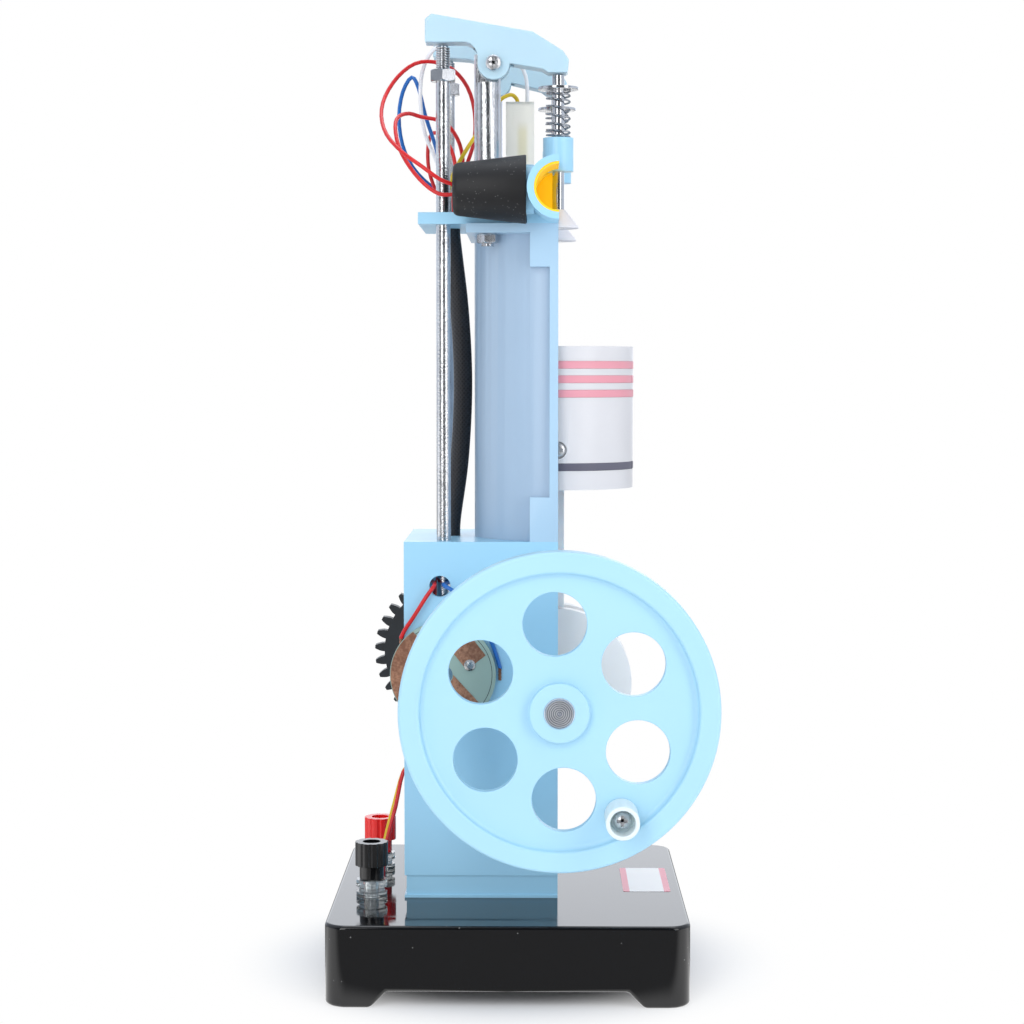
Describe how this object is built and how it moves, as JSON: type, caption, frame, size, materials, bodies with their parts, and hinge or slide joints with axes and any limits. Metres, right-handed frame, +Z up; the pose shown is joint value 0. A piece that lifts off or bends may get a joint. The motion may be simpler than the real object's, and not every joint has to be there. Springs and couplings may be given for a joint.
{
  "type": "four-stroke engine model",
  "caption": "Hand-cranked cut-away classroom model of a four-stroke engine with flywheel, piston, valve rockers, gears, wiring and a black base.",
  "frame": {"origin": "middle of the base's footprint on the table", "axes": "+X towards the open cut-away front, +Y from the flywheel to the gears, +Z up"},
  "size_m": [0.1568, 0.1852, 0.4015],
  "materials": {
    "black_gloss": "moulded and glossy",
    "blue_abs": "moulded and satin",
    "lavender_abs": "moulded and satin",
    "yellow_film": "printed film",
    "blue_film": "printed film",
    "black_rubber": "moulded and matte",
    "lamp_glass": "clear lamp glass on a cap",
    "milky_plastic": "milky and slightly translucent",
    "clear_plastic": "clear and glossy",
    "plated_steel": "nickel plated",
    "zinc": "zinc plated",
    "spring_steel": "drawn wire",
    "bronze": "turned",
    "copper": "bare copper",
    "black_nylon": "moulded",
    "red_plastic": "moulded",
    "pink_plastic": "moulded",
    "grey_plastic": "moulded",
    "circuit_board": "bare laminate",
    "wire_red": "soft insulation",
    "wire_blue": "soft insulation",
    "wire_white": "soft insulation",
    "wire_yellow": "soft insulation"
  },
  "bodies": {
    "frame": {"base": "black_gloss", "base_screws": "zinc", "crankcase": "blue_abs", "case_plinth": "blue_abs", "shaft_bushes": "bronze", "half_cylinder": "lavender_abs", "cylinder_pins": "zinc", "head_plate": "blue_abs", "port_near": "blue_abs", "port_far": "blue_abs", "liner_near": "yellow_film", "liner_far": "blue_film", "boot_near": "black_rubber", "boot_far": "black_rubber", "lamps": "lamp_glass", "spark_block": "milky_plastic", "post_near": "plated_steel", "post_far": "plated_steel", "post_nuts": "zinc", "pivot_screws": "zinc", "spring_near": "spring_steel", "spring_far": "spring_steel", "sleeve": "black_rubber", "wires_red": "wire_red", "wires_blue": "wire_blue", "wires_white": "wire_white", "wires_yellow": "wire_yellow", "brushes": "copper", "terminal_studs": "zinc", "terminal_collars": "clear_plastic"},
    "crank": {"crankshaft": "plated_steel", "crank_webs": "milky_plastic", "crank_gear": "black_nylon", "flywheel": "blue_abs", "handle_screw": "zinc"},
    "dowels": {"web_dowels": "plated_steel"},
    "handle": {"handle_knob": "milky_plastic"},
    "rod": {"connecting_rod": "milky_plastic", "gudgeon_pin": "plated_steel"},
    "piston": {"piston": "milky_plastic", "piston_rings": "pink_plastic", "oil_ring": "grey_plastic", "gudgeon_screws": "zinc"},
    "cam": {"camshaft": "plated_steel", "cam_gear": "black_nylon", "cams": "milky_plastic", "contact_disc": "circuit_board", "contact_sectors": "copper", "disc_screws": "zinc"},
    "rocker_near": {"rocker_near": "blue_abs"},
    "rocker_far": {"rocker_far": "blue_abs"},
    "pushrod_near": {"pushrod_near": "plated_steel"},
    "pushrod_far": {"pushrod_far": "plated_steel"},
    "valve_near": {"valve_stem_near": "plated_steel", "valve_head_near": "milky_plastic"},
    "valve_far": {"valve_stem_far": "plated_steel", "valve_head_far": "milky_plastic"},
    "knob_black": {"terminal_knob_black": "black_gloss"},
    "knob_red": {"terminal_knob_red": "red_plastic"}
  },
  "joints": [
    {"name": "crank_turn", "type": "hinge", "parent": "frame", "child": "crank", "pos_m": [0.0205, 0.009, 0.1203], "axis": [0, 1, 0], "continuous": true},
    {"name": "handle_spin", "type": "hinge", "parent": "crank", "child": "handle", "pos_m": [0.04471, 0.009, 0.08001], "axis": [0, 1, 0], "continuous": true},
    {"name": "dowel_turn", "type": "hinge", "parent": "crank", "child": "dowels", "pos_m": [0.0205, 0.009, 0.1093], "axis": [0, 1, 0], "continuous": true},
    {"name": "piston_stroke", "type": "hinge", "parent": "dowels", "child": "piston", "pos_m": [0.0205, 0.009, 0.0983], "axis": [0, 1, 0], "continuous": true},
    {"name": "rod_big_end", "type": "hinge", "parent": "crank", "child": "rod", "pos_m": [0.0205, 0.009, 0.0983], "axis": [0, 1, 0], "continuous": true},
    {"name": "cam_turn", "type": "hinge", "parent": "frame", "child": "cam", "pos_m": [-0.02722, 0.009, 0.12743], "axis": [0, 1, 0], "continuous": true},
    {"name": "rocker_near_tilt", "type": "hinge", "parent": "frame", "child": "rocker_near", "pos_m": [-0.0062, -0.02, 0.3794], "axis": [0, 1, 0], "range_deg": [0, 4.07]},
    {"name": "rocker_far_tilt", "type": "hinge", "parent": "frame", "child": "rocker_far", "pos_m": [-0.0062, 0.038, 0.3794], "axis": [0, 1, 0], "range_deg": [-4.07, 0]},
    {"name": "pushrod_near_slide", "type": "slide", "parent": "frame", "child": "pushrod_near", "axis": [0, 0, 1], "range_m": [0, 0.00149]},
    {"name": "pushrod_far_slide", "type": "slide", "parent": "frame", "child": "pushrod_far", "axis": [0, 0, 1], "range_m": [-0.00149, 0]},
    {"name": "valve_near_slide", "type": "slide", "parent": "frame", "child": "valve_near", "axis": [0, 0, -1], "range_m": [0, 0.0019], "deforming": ["spring_near"]},
    {"name": "valve_far_slide", "type": "slide", "parent": "frame", "child": "valve_far", "axis": [0, 0, -1], "range_m": [-0.0019, 0], "deforming": ["spring_far"]},
    {"name": "knob_black_turn", "type": "hinge", "parent": "frame", "child": "knob_black", "pos_m": [-0.0575, -0.0265, 0.048], "axis": [0, 0, 1], "range_deg": [0, 1080]},
    {"name": "knob_red_turn", "type": "hinge", "parent": "frame", "child": "knob_red", "pos_m": [-0.0575, 0.0265, 0.048], "axis": [0, 0, 1], "range_deg": [0, 1080]}
  ],
  "couplings": [
    {"joint": "dowel_turn", "follows": "crank_turn", "ratio": -2},
    {"joint": "piston_stroke", "follows": "crank_turn", "ratio": 1},
    {"joint": "rod_big_end", "follows": "crank_turn", "ratio": -1},
    {"joint": "cam_turn", "follows": "crank_turn", "ratio": -0.5},
    {"joint": "rocker_near_tilt", "follows": "pushrod_near_slide", "rad_per_m": 47.574},
    {"joint": "rocker_far_tilt", "follows": "pushrod_far_slide", "rad_per_m": 47.574},
    {"joint": "valve_near_slide", "follows": "pushrod_near_slide", "ratio": 1.2702},
    {"joint": "valve_far_slide", "follows": "pushrod_far_slide", "ratio": 1.2702}
  ]
}
